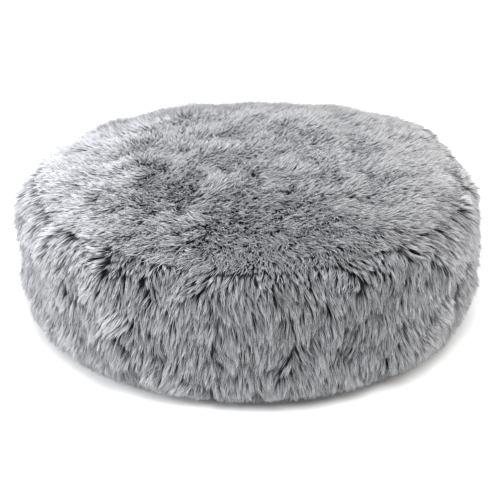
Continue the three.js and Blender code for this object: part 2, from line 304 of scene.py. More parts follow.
def mesh_arrays(mesh):
    """A mesh's points, and its corners and face lengths, as arrays."""
    corners = np.empty(len(mesh.loops), np.int64)
    mesh.loops.foreach_get("vertex_index", corners)
    sizes = np.empty(len(mesh.polygons), np.int64)
    mesh.polygons.foreach_get("loop_total", sizes)
    return coordinates(mesh), corners, sizes


def vertex_normals(mesh):
    flat = np.empty(len(mesh.vertices) * 3, np.float32)
    mesh.vertices.foreach_get("normal", flat)
    return flat.reshape(-1, 3)


def thicken(piece, name, thickness, offset):
    solid = piece.modifiers.new(name, "SOLIDIFY")
    solid.thickness = thickness
    solid.offset = offset
    apply_modifiers(piece)


def copies(name, template, points):
    """One mesh of many copies of a template. points holds each copy's own points, in the template's order."""
    _, corners, sizes = mesh_arrays(template)
    count, each = points.shape[0], points.shape[1]
    mesh = bpy.data.meshes.new(name)
    mesh.vertices.add(count * each)
    mesh.vertices.foreach_set("co", points.astype(np.float32).ravel())
    all_corners = (corners[None, :] + each * np.arange(count)[:, None]).ravel()
    mesh.loops.add(len(all_corners))
    mesh.loops.foreach_set("vertex_index", all_corners.astype(np.int32))
    all_sizes = np.tile(sizes, count)
    mesh.polygons.add(len(all_sizes))
    starts = np.concatenate([[0], np.cumsum(all_sizes)[:-1]])
    mesh.polygons.foreach_set("loop_start", starts.astype(np.int32))
    mesh.update(calc_edges=True)
    mesh.polygons.foreach_set("use_smooth", np.ones(len(all_sizes), bool))
    piece = bpy.data.objects.new(name, mesh)
    bpy.context.scene.collection.objects.link(piece)
    return piece


# ---- materials ----
def set_inputs(node, **values):
    """Sets a node's inputs by their names, in which underscores stand for spaces."""
    for name, value in values.items():
        node.inputs[name.replace("_", " ")].default_value = value


def add_node(nodes, kind, **values):
    node = nodes.new("ShaderNode" + kind)
    set_inputs(node, **values)
    return node


def colour_mix(nodes, blend="MIX"):
    mix = nodes.new("ShaderNodeMix")
    mix.data_type = "RGBA"
    mix.blend_type = blend
    return mix


def join(links, *pairs):
    """Links outputs to inputs. Each pair is a node and its output, then a node and its input."""
    for source, output, target, given in pairs:
        links.new(source.outputs[output], target.inputs[given])


def new_material(name, **values):
    material = bpy.data.materials.new(name)
    material.use_nodes = True
    tree = material.node_tree
    shader = tree.nodes["Principled BSDF"]
    set_inputs(shader, **values)
    return material, tree.nodes, tree.links, shader


def set_ramp(ramp, stops):
    """Sets a colour ramp's stops: places and colours."""
    elements = ramp.color_ramp.elements
    while len(elements) < len(stops):
        elements.new(0.5)
    for element, (place, colour) in zip(elements, stops):
        element.position = place
        element.color = (*colour, 1)


def blended(a, b, share):
    return tuple(x + (y - x) * share for x, y in zip(a, b))


def pile_material(settings):
    """Fur: dark at the root and silver at the tip, each lock a little lighter or darker than the next."""
    material, nodes, links, shader = new_material(
        "long_pile", Roughness=0.62, Specular_IOR_Level=0.25, Sheen_Weight=0.05, Sheen_Roughness=0.4)
    place = nodes.new("ShaderNodeUVMap")
    place.uv_map = PILE_MAP
    split = add_node(nodes, "SeparateXYZ")
    ramp = add_node(nodes, "ValToRGB")
    root, tip = tuple(settings.root_colour), tuple(settings.tip_colour)
    set_ramp(ramp, [(0.0, root), (0.34, blended(root, tip, 0.09)),
                    (0.60, blended(root, tip, 0.50)), (0.86, tip), (1.0, tip)])
    shade = add_node(nodes, "MapRange", To_Min=0.25, To_Max=1.45)
    mix = colour_mix(nodes, "MULTIPLY")
    set_inputs(mix, Factor=1.0)
    join(links, (place, "UV", split, "Vector"), (split, "Y", ramp, "Fac"), (split, "X", shade, "Value"),
         (ramp, "Color", mix, "A"), (shade, "Result", mix, "B"), (mix, "Result", shader, "Base Color"))
    return material


def new_group(name, **inputs):
    """A shader node group with colour, height and roughness outputs. Inputs are numbers or colours."""
    group = bpy.data.node_groups.new(name, "ShaderNodeTree")
    for title, default in inputs.items():
        kind = "NodeSocketColor" if isinstance(default, tuple) else "NodeSocketFloat"
        group.interface.new_socket(name=title, in_out="INPUT", socket_type=kind).default_value = default
    for title, kind in (("Color", "Color"), ("Height", "Float"), ("Roughness", "Float")):
        group.interface.new_socket(name=title, in_out="OUTPUT", socket_type="NodeSocket" + kind)
    nodes = group.nodes
    return group, nodes, group.links, nodes.new("NodeGroupInput"), nodes.new("NodeGroupOutput")


def weave_group():
    """Threads crossing over and under: a colour, a height and a roughness. The colour is darker where the
    threads dip and lighter on their crossings, which is painted shade between the threads, mixed with patches
    of the cloth's own tone.
    """
    group, nodes, links, given, out = new_group(
        "plain_weave", Thread=0.001, Dark=(0.02, 0.02, 0.02, 1), Light=(0.05, 0.05, 0.05, 1))

    def math_node(kind, *inputs):
        node = nodes.new("ShaderNodeMath")
        node.operation = kind
        for socket, value in zip(node.inputs, inputs):
            if isinstance(value, (int, float)):
                socket.default_value = value
            else:
                links.new(value, socket)
        return node.outputs[0]

    def either(on_flat, upright):
        """One value where the cloth lies flat and another where it stands."""
        return math_node("ADD", math_node("MULTIPLY", on_flat, flat),
                         math_node("MULTIPLY", upright, math_node("SUBTRACT", 1.0, flat)))

    place = add_node(nodes, "TexCoord")
    split = add_node(nodes, "SeparateXYZ")
    noise = add_node(nodes, "TexNoise", Scale=22, Detail=5)
    join(links, (place, "Object", split, "Vector"), (place, "Object", noise, "Vector"))
    azimuth = math_node("ARCTAN2", split.outputs["Y"], split.outputs["X"])
    flat = math_node("LESS_THAN", split.outputs["Z"], FLAT_CLOTH_HEIGHT)
    round_way = math_node("MULTIPLY", azimuth, ZIP_RADIUS)
    turns = math_node("DIVIDE", math.pi, given.outputs["Thread"])
    across, along = (
        math_node("SINE", math_node("MULTIPLY", either(split.outputs[axis], upright), turns))
        for axis, upright in (("X", round_way), ("Y", split.outputs["Z"])))
    height = math_node("ABSOLUTE", math_node("MULTIPLY", across, along))
    patches = noise.outputs["Fac"]
    mix = colour_mix(nodes)
    # painted shade: the colour runs from Dark where the threads dip to Light on their crossings, mixed with
    # patches of the cloth's own tone
    links.new(math_node("ADD", math_node("MULTIPLY", height, 0.6), math_node("MULTIPLY", patches, 0.4)),
              mix.inputs["Factor"])
    join(links, (given, "Dark", mix, "A"), (given, "Light", mix, "B"), (mix, "Result", out, "Color"))
    links.new(height, out.inputs["Height"])
    links.new(math_node("ADD", 0.72, math_node("MULTIPLY", patches, 0.22)), out.inputs["Roughness"])
    return group


def wear_group():
    """Fine scratches and slight colour change, for metal and moulded pieces."""
    group, nodes, links, given, out = new_group(
        "handling_wear", Scale=400.0, Clean=(0.5, 0.5, 0.5, 1), Worn=(0.3, 0.3, 0.3, 1))
    place = add_node(nodes, "TexCoord")
    stretch = add_node(nodes, "Mapping", Scale=(1, 1, 6))
    noise = add_node(nodes, "TexNoise", Detail=6)
    mix = colour_mix(nodes)
    rough = add_node(nodes, "MapRange", To_Min=0.24, To_Max=0.46)
    join(links, (place, "Object", stretch, "Vector"), (stretch, "Vector", noise, "Vector"),
         (given, "Scale", noise, "Scale"), (noise, "Fac", mix, "Factor"), (given, "Worn", mix, "A"),
         (given, "Clean", mix, "B"), (noise, "Fac", rough, "Value"), (mix, "Result", out, "Color"),
         (noise, "Fac", out, "Height"), (rough, "Result", out, "Roughness"))
    return group


def group_material(name, group, strength, depth, **values):
    """A material whose colour, roughness and bump come from a node group with its own values."""
    material, nodes, links, shader = new_material(name)
    pattern = nodes.new("ShaderNodeGroup")
    pattern.node_tree = group
    set_inputs(pattern, **values)
    bump = add_node(nodes, "Bump", Strength=strength, Distance=depth)
    join(links, (pattern, "Height", bump, "Height"), (bump, "Normal", shader, "Normal"),
         (pattern, "Color", shader, "Base Color"), (pattern, "Roughness", shader, "Roughness"))
    return material, shader


def cloth_material(name, dark, light, thread, depth, sheen=0.1):
    """Woven cloth, with painted shade between its threads."""
    weave = bpy.data.node_groups.get("plain_weave") or weave_group()
    material, shader = group_material(
        name, weave, 0.6, depth, Thread=thread, Dark=(*dark, 1), Light=(*light, 1))
    set_inputs(shader, Sheen_Weight=sheen)
    return material


def hard_material(name, clean, worn, metallic, depth):
    """Plated metal, or moulded nylon or rubber when metallic is 0."""
    wear = bpy.data.node_groups.get("handling_wear") or wear_group()
    material, shader = group_material(name, wear, 0.25, depth, Clean=(*clean, 1), Worn=(*worn, 1))
    set_inputs(shader, Metallic=metallic)
    return material


def fibre_material():
    """Matted polyester fibre: white, with soft shadows between the clumps."""
    material, nodes, links, shader = new_material("matted_fibre", Roughness=0.95)
    place = add_node(nodes, "TexCoord")
    noise = add_node(nodes, "TexNoise", Scale=60, Detail=8, Distortion=1.4)
    ramp = add_node(nodes, "ValToRGB")
    set_ramp(ramp, [(0.3, (0.62, 0.62, 0.60)), (0.7, (0.88, 0.88, 0.86))])
    bump = add_node(nodes, "Bump", Distance=0.003)
    join(links, (place, "Object", noise, "Vector"), (noise, "Fac", ramp, "Fac"),
         (noise, "Fac", bump, "Height"), (ramp, "Color", shader, "Base Color"),
         (bump, "Normal", shader, "Normal"))
    return material


# ---- the stuffed form ----
def form_object():
    return bpy.data.objects[FORM]


def sewn_weights(points):
    """1 where the cover is held by a seam or by the floor, 0 where the filling can push it."""
    radius = radii_of(points)
    height = points[:, 2]
    top_seam = (np.abs(height - SEAM_LINE) < 0.005) & (radius > SEAM_RADIUS - 0.03)
    floor = height < 0.016
    return top_seam | floor


def press_in_zip(points):
    """Pulls the form in behind the zip, so that the tapes lie on it."""
    radius = radii_of(points)
    azimuth = azimuths_of(points)
    inside = np.minimum(azimuth - RECESS_FROM, RECESS_TO - azimuth) * ZIP_RADIUS
    along = smooth_step(inside / 0.03 + 0.6)
    rise = smooth_step((points[:, 2] - ZIP_TOP) / 0.035)
    held = (ZIP_RADIUS - 0.006) + (radius - ZIP_RADIUS + 0.006) * rise
    wanted = np.where(radius > held, radius + (held - radius) * along, radius)
    scale = wanted / np.maximum(radius, 1e-6)
    points = points.copy()
    points[:, 0] *= scale
    points[:, 1] *= scale
    return points


def swell(points):
    """How far the filling stands out or in at each point: lumps and hollows of a cushion that is used."""
    rise = smooth_noise(points, 0.16, 11) * 0.0035
    for azimuth, radius, height, size, most in BULGES:
        centre = (radius * math.cos(math.radians(azimuth)), radius * math.sin(math.radians(azimuth)), height)
        far = np.linalg.norm(points - np.array(centre), axis=1)
        rise += most * np.exp(-(far / size) ** 2)
    return rise * np.clip(points[:, 2] / 0.05, 0, 1)


def unevenness(points, normals):
    fine = smooth_noise(points, 0.055, 12) * 0.0018 * np.clip(points[:, 2] / 0.05, 0, 1)
    return points + normals * (swell(points) + fine)[:, None]


def stuff(piece, settings):
    """Fills the form: the cloth swells between the seams that hold it."""
    start = coordinates(piece.data)
    held = np.nonzero(sewn_weights(start))[0]
    group = piece.vertex_groups.new(name="sewn")
    group.add([int(i) for i in held], 1.0, "REPLACE")
    modifier = piece.modifiers.new("Filling", "CLOTH")
    cloth = modifier.settings
    cloth.quality = 4
    cloth.mass = 0.3
    cloth.tension_stiffness = cloth.compression_stiffness = 12
    cloth.shear_stiffness = 4
    cloth.bending_stiffness = 0.4
    cloth.vertex_group_mass = "sewn"
    cloth.use_pressure = True
    cloth.uniform_pressure_force = settings.pressure
    cloth.effector_weights.gravity = 0
    modifier.collision_settings.use_collision = False
    scene = bpy.context.scene
    for step in range(1, 21):
        scene.frame_set(step)
    apply_modifiers(piece)
    scene.frame_set(1)
    moved = coordinates(piece.data) - start
    far = np.linalg.norm(moved, axis=1)
    moved *= (FILLING_CAP / np.maximum(far, FILLING_CAP))[:, None]
    set_coordinates(piece.data, start + moved)


class CUSHION_OT_form(bpy.types.Operator):
    """Make the closed form that the cover and the pad are cut from, and fill it"""
    bl_idname = "cushion.form"
    bl_label = "Stuffed form"

    def execute(self, context):
        settings = context.scene.cushion_cover
        slack = FILLING_SWELL
        piece = turned_solid(FORM, body_outline(settings.backing_inset + slack), FORM_SEGMENTS)
        remesh = piece.modifiers.new("Even faces", "REMESH")
        remesh.mode = "VOXEL"
        remesh.voxel_size = settings.voxel
        apply_modifiers(piece)
        stuff(piece, settings)
        smooth = piece.modifiers.new("Relax", "SMOOTH")
        smooth.iterations = 3
        apply_modifiers(piece)
        points = coordinates(piece.data)
        points = unevenness(points, vertex_normals(piece.data))
        set_coordinates(piece.data, press_in_zip(points))
        return {"FINISHED"}


def form_layer(name, depth, thickness, cuts, above_zip=False):
    """A layer cut from the form: moved in by depth and cut by planes, each a point and a normal."""
    piece = form_object().copy()
    piece.data = form_object().data.copy()
    bpy.context.scene.collection.objects.link(piece)
    set_coordinates(piece.data, coordinates(piece.data) - vertex_normals(piece.data) * depth)
    choose(piece)
    bpy.ops.object.mode_set(mode="EDIT")
    for point, normal in cuts:
        bpy.ops.mesh.select_all(action="SELECT")
        bpy.ops.mesh.bisect(plane_co=point, plane_no=normal, clear_outer=True)
    if above_zip:
        for point, normal in zip_opening_planes():
            bpy.ops.mesh.select_all(action="SELECT")
            bpy.ops.mesh.bisect(plane_co=point, plane_no=normal)
        select_faces(piece, in_zip_opening)
        bpy.ops.mesh.delete(type="FACE")
    leave_edit()
    if thickness:
        thicken(piece, "Cloth", thickness, -1)
    choose(piece)
    bpy.ops.object.shade_smooth()
    piece.name = name
    return piece


def zip_opening_planes():
    """The top of the opening for the zip, and its two ends."""
    planes = [((0, 0, HEM), (0, 0, 1))]
    for azimuth in (RECESS_FROM, RECESS_TO):
        planes.append(((0, 0, 0), (-math.sin(azimuth), math.cos(azimuth), 0)))
    return planes


def in_zip_opening(centre):
    azimuth = math.atan2(centre.y, centre.x)
    return centre.z < HEM and RECESS_FROM < azimuth < RECESS_TO


def select_faces(piece, wanted):
    """In edit mode: selects the faces whose centres pass the test."""
    bpy.ops.mesh.select_all(action="DESELECT")
    bpy.ops.mesh.select_mode(type="FACE")
    leave_edit()
    for face in piece.data.polygons:
        face.select = wanted(face.center)
    bpy.ops.object.mode_set(mode="EDIT")


class CUSHION_OT_cover(bpy.types.Operator):
    """Cut the knitted backings of the top panel and of the two halves of the wall"""
    bl_idname = "cushion.cover"
    bl_label = "Cover backing"

    def execute(self, context):
        settings = context.scene.cushion_cover
        backing = cloth_material("backing_knit", (0.010, 0.012, 0.018), (0.030, 0.034, 0.045), 0.0012, 0.0003)
        wall = [((0, 0, SEAM_LINE), (0, 0, 1)), ((0, 0, WALL_FOOT), (0, 0, -1))]
        panels = {
            "top_panel": [((0, 0, SEAM_LINE), (0, 0, -1))],
            "side_wall_front": wall + [((0, 0, 0), (0, 1, 0))],
            "side_wall_back": wall + [((0, 0, 0), (0, -1, 0))],
        }
        for node, cuts in panels.items():
            name = node + "_backing"
            piece = form_layer(name, 0.0, settings.cloth, cuts, node == "side_wall_back")
            finish_piece(piece, name, "cover", backing, [node])
        return {"FINISHED"}


class CUSHION_OT_pad(bpy.types.Operator):
    """Make the inner pad: the three panels of its bag, and the fibre in it"""
    bl_idname = "cushion.pad"
    bl_label = "Inner pad"

    def execute(self, context):
        cloth = cloth_material("liner_cotton", (0.52, 0.52, 0.51), (0.76, 0.76, 0.75), 0.0009, 0.0002)
        top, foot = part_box("liner_wall")[1].z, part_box("liner_base")[1].z
        panels = {
            "liner_top": [((0, 0, top), (0, 0, -1))],
            "liner_wall": [((0, 0, top), (0, 0, 1)), ((0, 0, foot), (0, 0, -1))],
            "liner_base": [((0, 0, foot), (0, 0, 1))],
        }
        for node, cuts in panels.items():
            piece = form_layer(node + "_cloth", LINER_DEPTH, 0.0012, cuts)
            finish_piece(piece, node + "_cloth", "cover", cloth, [node])
        fill = form_layer("fibre_fill_mass", LINER_DEPTH + 0.0022, 0, [])
        finish_piece(fill, "fibre_fill_mass", "cover", fibre_material(), ["fibre_fill"])
        return {"FINISHED"}


# ---- base panel ----
def frames_round(radius, heights, azimuths):
    """Outward, along and up directions, and places, of copies set round the axis."""
    out = np.stack([np.cos(azimuths), np.sin(azimuths), 0 * azimuths], 1)
    along = np.stack([-np.sin(azimuths), np.cos(azimuths), 0 * azimuths], 1)
    up = np.tile([0.0, 0.0, 1.0], (len(azimuths), 1))
    places = out * np.asarray(radius).reshape(-1, 1) + up * np.asarray(heights).reshape(-1, 1)
    return out, along, up, places


def set_round(name, template, radius, heights, azimuths):
    """Copies of a template set round the axis. The template's X points along, Y up and Z outwards."""
    shape = coordinates(template.data)
    out, along, up, places = frames_round(radius, heights, azimuths)
    points = (places[:, None] + along[:, None] * shape[None, :, 0:1] + up[:, None] * shape[None, :, 1:2]
              + out[:, None] * shape[None, :, 2:3])
    return copies(name, template.data, points)


def stitch_template(length, thickness):
    """One sewn stitch lying along X: a short thread whose ends dive into the cloth."""
    deselect_all()
    bpy.ops.mesh.primitive_cylinder_add(
        vertices=6, radius=thickness / 2, depth=length, rotation=(0, math.pi / 2, 0), end_fill_type="NGON")
    stitch = bpy.context.object
    bpy.ops.object.transform_apply(location=True, rotation=True)
    bpy.ops.object.mode_set(mode="EDIT")
    for share in (-0.3, 0.3):
        bpy.ops.mesh.select_all(action="SELECT")
        bpy.ops.mesh.bisect(plane_co=(share * length, 0, 0), plane_no=(1, 0, 0))
    leave_edit()
    points = coordinates(stitch.data)
    ends = np.abs(points[:, 0]) > 0.4 * length
    points[ends, 2] -= thickness * 0.8
    set_coordinates(stitch.data, points)
    return stitch


def base_cloth_panel():
    """The base: a flat round of cloth whose edge turns up, a little gathered where it meets the wall."""
    outline = [(0.060, BASE_CLEAR), (0.140, BASE_CLEAR), (0.205, BASE_CLEAR), (0.236, BASE_CLEAR + 0.0001),
               (0.244, 0.0012), (0.250, 0.0024), (0.2555, 0.0046), (0.2595, 0.0078), (0.2622, 0.0112),
               (0.2632, 0.0138)]
    piece = turned_solid("base_panel_cloth", outline, 240)
    choose(piece)
    bpy.ops.object.mode_set(mode="EDIT")
    select_faces(piece, lambda centre: centre.z > outline[-1][1] - 1e-5)
    bpy.ops.mesh.delete(type="FACE")
    leave_edit()
    points = coordinates(piece.data)
    radius = radii_of(points)
    azimuth = azimuths_of(points)
    ruck = smooth_step((radius - 0.240) / 0.012) * smooth_step((0.2634 - radius) / 0.004)
    wave = np.sin(azimuth * 95 + 2.0 * np.sin(azimuth * 7)) * (0.6 + 0.4 * np.sin(azimuth * 13))
    points[:, 2] += 0.0006 * ruck * wave
    points[:, 2] = np.maximum(points[:, 2], BASE_CLEAR)
    set_coordinates(piece.data, points)
    thicken(piece, "Cloth", 0.0016, -1)
    choose(piece)
    bpy.ops.object.shade_smooth()
    return piece


def grip_dot_template():
    deselect_all()
    bpy.ops.mesh.primitive_uv_sphere_add(segments=10, ring_count=6, radius=GRIP_RADIUS)
    dot = bpy.context.object
    edit_all()
    bpy.ops.mesh.bisect(plane_co=(0, 0, 0), plane_no=(0, 0, 1), clear_outer=True, use_fill=True)
    leave_edit()
    points = coordinates(dot.data)
    points[:, 2] *= (BASE_CLEAR + 0.0002) / GRIP_RADIUS
    set_coordinates(dot.data, points)
    return dot


class CUSHION_OT_base(bpy.types.Operator):
    """Make the base panel, with its grip dots and the stitching round its edge"""
    bl_idname = "cushion.base"
    bl_label = "Base panel"

    def execute(self, context):
        cloth = cloth_material("base_canvas", (0.010, 0.011, 0.014), (0.040, 0.043, 0.052), 0.0013, 0.0004)
        panel = base_cloth_panel()
        finish_piece(panel, "base_panel_cloth", "cover", cloth, ["base_panel"])
        rubber = hard_material("grip_rubber", (0.115, 0.12, 0.135), (0.085, 0.09, 0.10), 0.0, 0.0001)
        dot = grip_dot_template()
        shape = coordinates(dot.data)
        step = 0.021
        places = []
        for row in range(-13, 14):
            for column in range(-13, 14):
                x, y = step * (column + 0.5 * (row % 2)), step * row * math.sqrt(3) / 2
                if math.hypot(x, y) < 0.232:
                    places.append((x, y, BASE_CLEAR + 0.0002))
        piece = copies("grip_dots", dot.data, np.array(places)[:, None] + shape[None])
        finish_piece(piece, "base_panel_grip_dots", "cover", rubber, ["base_panel"])
        bpy.data.objects.remove(dot)
        thread = cloth_material("sewing_thread", (0.05, 0.055, 0.065), (0.16, 0.17, 0.19), 0.0006, 0.0001)
        stitch = stitch_template(0.0042, 0.0008)
        azimuths = np.arange(290) / 290 * 2 * math.pi
        piece = set_round("stitches", stitch, 0.2560, 0.0048 + 0 * azimuths, azimuths)
        finish_piece(piece, "base_panel_stitches", "cover", thread, ["base_panel"])
        bpy.data.objects.remove(stitch)
        return {"FINISHED"}


# ---- zip ----
def coil_template():
    """One loop of the nylon coil: a flattened ring standing across the tape."""
    deselect_all()
    bpy.ops.mesh.primitive_torus_add(
        major_segments=10, minor_segments=5, major_radius=COIL_DEPTH / 2 - COIL_WIRE, minor_radius=COIL_WIRE)
    loop = bpy.context.object
    edit_all()
    bpy.ops.transform.rotate(value=math.pi / 2, orient_axis="Y", center_override=(0, 0, 0))
    leave_edit()
    points = coordinates(loop.data)
    reach = (COIL_WIDTH + COIL_BITE) / COIL_DEPTH
    points[:, 1] *= reach
    points[:, 0] += 0.22 * points[:, 1]
    set_coordinates(loop.data, points)
    return loop


def arc_strip(name, radius, thickness, heights, azimuths):
    """A thin strip bent round the axis."""
    deselect_all()
    bpy.ops.mesh.primitive_grid_add(x_subdivisions=150, y_subdivisions=2, size=1)
    piece = bpy.context.object
    piece.name = name
    points = coordinates(piece.data) + np.array([0.5, 0.5, 0])
    azimuth = azimuths[1] + points[:, 0] * (azimuths[0] - azimuths[1])
    height = heights[0] + points[:, 1] * (heights[1] - heights[0])
    set_coordinates(piece.data, turned_places(radius, azimuth, height))
    thicken(piece, "Tape", thickness, 0)
    return piece


def softened(node, name, body, material, width):
    """A CAD node's shape with its edges rounded."""
    source = bpy.data.objects[node]
    piece = source.copy()
    piece.data = source.data.copy()
    bpy.context.scene.collection.objects.link(piece)
    choose(piece)
    edit_all()
    bpy.ops.mesh.remove_doubles(threshold=1e-6)
    bpy.ops.mesh.dissolve_limited(angle_limit=math.radians(1))
    leave_edit()
    bevel = piece.modifiers.new("Rounded edges", "BEVEL")
    bevel.width = width
    bevel.segments = 3
    bevel.limit_method = "ANGLE"
    bevel.angle_limit = math.radians(40)
    apply_modifiers(piece)
    choose(piece)
    bpy.ops.object.shade_smooth_by_angle(angle=math.radians(40))
    return finish_piece(piece, name, body, material, [node])


class CUSHION_OT_zip(bpy.types.Operator):
    """Make the zip: coils, tapes, stitching, stops, slider and pull tab"""
    bl_idname = "cushion.zip"
    bl_label = "Zip"

    def execute(self, context):
        nylon = hard_material("coil_nylon", (0.045, 0.049, 0.058), (0.022, 0.024, 0.030), 0.0, 0.00004)
        metal = hard_material("plated_metal", (0.36, 0.37, 0.39), (0.22, 0.23, 0.25), 1.0, 0.00003)
        tape = cloth_material("tape_weave", (0.020, 0.022, 0.028), (0.065, 0.070, 0.082), 0.0007, 0.0002)
        facing = cloth_material("facing_twill", (0.016, 0.018, 0.022), (0.052, 0.055, 0.064), 0.0010, 0.0003)
        for node in ("zip_tape_upper", "zip_tape_lower"):
            bpy.data.objects[node].material_slots[0].material = tape
        for node in ("zip_end_tab_left", "zip_end_tab_right"):
            bpy.data.objects[node].material_slots[0].material = facing
        loop = coil_template()
        for row, side in (("upper", 1), ("lower", -1)):
            node = f"zip_coil_{row}"
            low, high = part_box(node)
            middle = (low.z + high.z) / 2 - side * COIL_BITE / 2
            count = int((ZIP_CLOSED - ZIP_OPEN) * ZIP_RADIUS / COIL_PITCH)
            places = np.arange(count) + (0.25 if side > 0 else 0.75)
            azimuths = ZIP_OPEN + places / count * (ZIP_CLOSED - ZIP_OPEN)
            piece = set_round(node, loop, ZIP_RADIUS, middle + 0 * azimuths, azimuths)
            finish_piece(piece, node + "_teeth", "cover", nylon, [node])
        bpy.data.objects.remove(loop)
        for node in ("zip_top_stop_upper", "zip_top_stop_lower", "zip_bottom_stop"):
            softened(node, node + "_clamp", "cover", metal, 0.0003)
        softened("zip_slider", "zip_slider_body", "zip_slider", metal, 0.00028)
        softened("zip_pull_tab", "zip_pull_tab_plate", "zip_pull_tab", metal, 0.0003)
        for row, side in (("upper", 1), ("lower", -1)):
            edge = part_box(f"zip_tape_{row}")[0 if side > 0 else 1].z
            spans = sorted((edge, ZIP_MIDDLE + side * 0.0004))
            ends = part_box("zip_tape_upper")
            start, finish = math.atan2(ends[0].y, ends[1].x), math.atan2(ends[0].y, ends[0].x)
            piece = arc_strip(f"zip_tape_{row}_edge", ZIP_RADIUS - 0.0016, 0.0003, spans, (start, finish))
            finish_piece(piece, piece.name, "cover", tape)
        self.stitch_tapes()
        return {"FINISHED"}

    def stitch_tapes(self):
        thread = cloth_material("tape_thread", (0.05, 0.055, 0.065), (0.15, 0.16, 0.18), 0.0006, 0.0001)
        stitch = stitch_template(0.0030, 0.0006)
        count = int((ZIP_CLOSED - ZIP_OPEN) * ZIP_RADIUS / 0.0042)
        azimuths = ZIP_OPEN + (np.arange(count) + 0.5) / count * (ZIP_CLOSED - ZIP_OPEN)
        for row, inset in (("upper", -0.0022), ("lower", 0.0018)):
            low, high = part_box(f"zip_tape_{row}")
            height = (high.z if row == "upper" else low.z) + inset
            radius = ZIP_RADIUS + TAPE_HALF + 0.0001
            piece = set_round("stitches", stitch, radius, height + 0 * azimuths, azimuths)
            finish_piece(piece, f"zip_tape_{row}_stitches", "cover", thread)
        bpy.data.objects.remove(stitch)


# ---- care label ----
class CUSHION_OT_label(bpy.types.Operator):
    """Make the folded care label, left blank"""
    bl_idname = "cushion.label"
    bl_label = "Care label"

    def execute(self, context):
        low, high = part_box("care_label")
        corners = [math.atan2(y, x) for x in (low.x, high.x) for y in (low.y, high.y)]
        middle = sum(corners) / 4
        radius = ZIP_RADIUS + 0.0022
        width, drop = 0.024, high.z - low.z - 0.0010
        deselect_all()
        bpy.ops.mesh.primitive_grid_add(x_subdivisions=16, y_subdivisions=48, size=1)
        piece = context.object
        points = coordinates(piece.data)
        across = points[:, 0] * width
        along = (points[:, 1] + 0.5) * 2
        down = np.where(along <= 1, along, 2 - along)
        back = np.where(along <= 1, -1.0, 1.0)
        fold = np.sqrt(np.clip(1 - np.clip((down - 0.97) / 0.03, 0, 1) ** 2, 0, 1))
        lift = 0.0012 * smooth_step(down) * (1 + 0.5 * np.sin(across / width * math.pi * 1.3 + 0.6))
        gap = 0.00028 + 0.0005 * down * (1 - down) * 2
        out = radius + lift + back * gap * fold
        azimuth = middle + across / radius
        height = high.z - 0.0002 - down * drop
        set_coordinates(piece.data, turned_places(out, azimuth, height))
        thicken(piece, "Satin", 0.00018, 0)
        bpy.ops.object.shade_smooth()
        satin = cloth_material(
            "label_satin", (0.66, 0.65, 0.61), (0.82, 0.81, 0.77), 0.0005, 0.00006, sheen=0.4)
        finish_piece(piece, "care_label_strip", "cover", satin, ["care_label"])
        return {"FINISHED"}


# ---- the pile ----
def strand_template():
    """A three-sided strand of radius 1 and length 1, thickest below its middle, closed to a point."""
    deselect_all()
    bpy.ops.mesh.primitive_cone_add(vertices=3, radius1=0.8, radius2=0, depth=1, location=(0, 0, 0.5))
    strand = bpy.context.object
    bpy.ops.object.transform_apply(location=True)
    edit_all()
    bpy.ops.mesh.bisect(plane_co=(0, 0, 0.52), plane_no=(0, 0, 1))
    leave_edit()
    points = coordinates(strand.data)
    middle = np.abs(points[:, 2] - 0.52) < 0.01
    points[middle, :2] *= 0.95 / np.linalg.norm(points[middle, :2], axis=1)[:, None]
    set_coordinates(strand.data, points)
    return strand


def band_area(outline):
    return 2 * math.pi * sum(
        (a[0] + b[0]) / 2 * math.hypot(a[0] - b[0], a[1] - b[1]) for a, b in zip(outline, outline[1:]))


def lattice(outline, count):
    """Evenly spread places on a surface turned from an outline."""
    outline = np.array(outline)
    steps = np.diff(outline, axis=0)
    areas = (outline[1:, 0] + outline[:-1, 0]) / 2 * np.hypot(steps[:, 0], steps[:, 1])
    covered = np.concatenate([[0], np.cumsum(areas)])
    wanted = (np.arange(count) + 0.5) / count * covered[-1]
    radius = np.interp(wanted, covered, outline[:, 0])
    height = np.interp(wanted, covered, outline[:, 1])
    azimuth = (np.arange(count) * GOLDEN + math.pi) % (2 * math.pi) - math.pi
    return turned_places(radius, azimuth, height)


def on_form(tree, points):
    """Each point moved to the nearest place of the form, and the form's normal there."""
    places, normals = np.empty_like(points), np.empty_like(points)
    for i, point in enumerate(points):
        place, normal, _, _ = tree.find_nearest(Vector(point))
        places[i], normals[i] = place, normal
    return places, normals


def nearest_of(points, centres, how_many):
    """Indices of, and distances to, each point's nearest centres."""
    near = KDTree(len(centres))
    for i, centre in enumerate(centres):
        near.insert(centre, i)
    near.balance()
    found = [near.find_n(point, how_many) for point in points]
    return np.array([[f[1] for f in row] for row in found]), np.array([[f[2] for f in row] for row in found])


def combed(normals, wish, twist):
    """Directions on the surface in which the pile lies: the wish, turned by twist."""
    lie = unit(wish - normals * (wish * normals).sum(1)[:, None])
    across = np.cross(normals, lie)
    return lie * np.cos(twist)[:, None] + across * np.sin(twist)[:, None]


def bezier(start, bend, end, share):
    share = share[None, :, None]
    return ((1 - share) ** 2 * start[:, None] + 2 * share * (1 - share) * bend[:, None]
            + share ** 2 * end[:, None])


def strand_paths(roots, normals, lie, lean, length, droop):
    """The start, bend and end of each strand's curve."""
    start = roots - normals * 0.0008
    rising = normals * np.cos(lean * 0.5)[:, None] + lie * np.sin(lean * 0.5)[:, None]
    lying = normals * np.cos(lean * 1.15)[:, None] + lie * np.sin(lean * 1.15)[:, None]
    bend = start + rising * (length * 0.45)[:, None]
    end = bend + lying * (length * 0.55)[:, None]
    end[:, 2] -= droop * length
    return start, bend, end


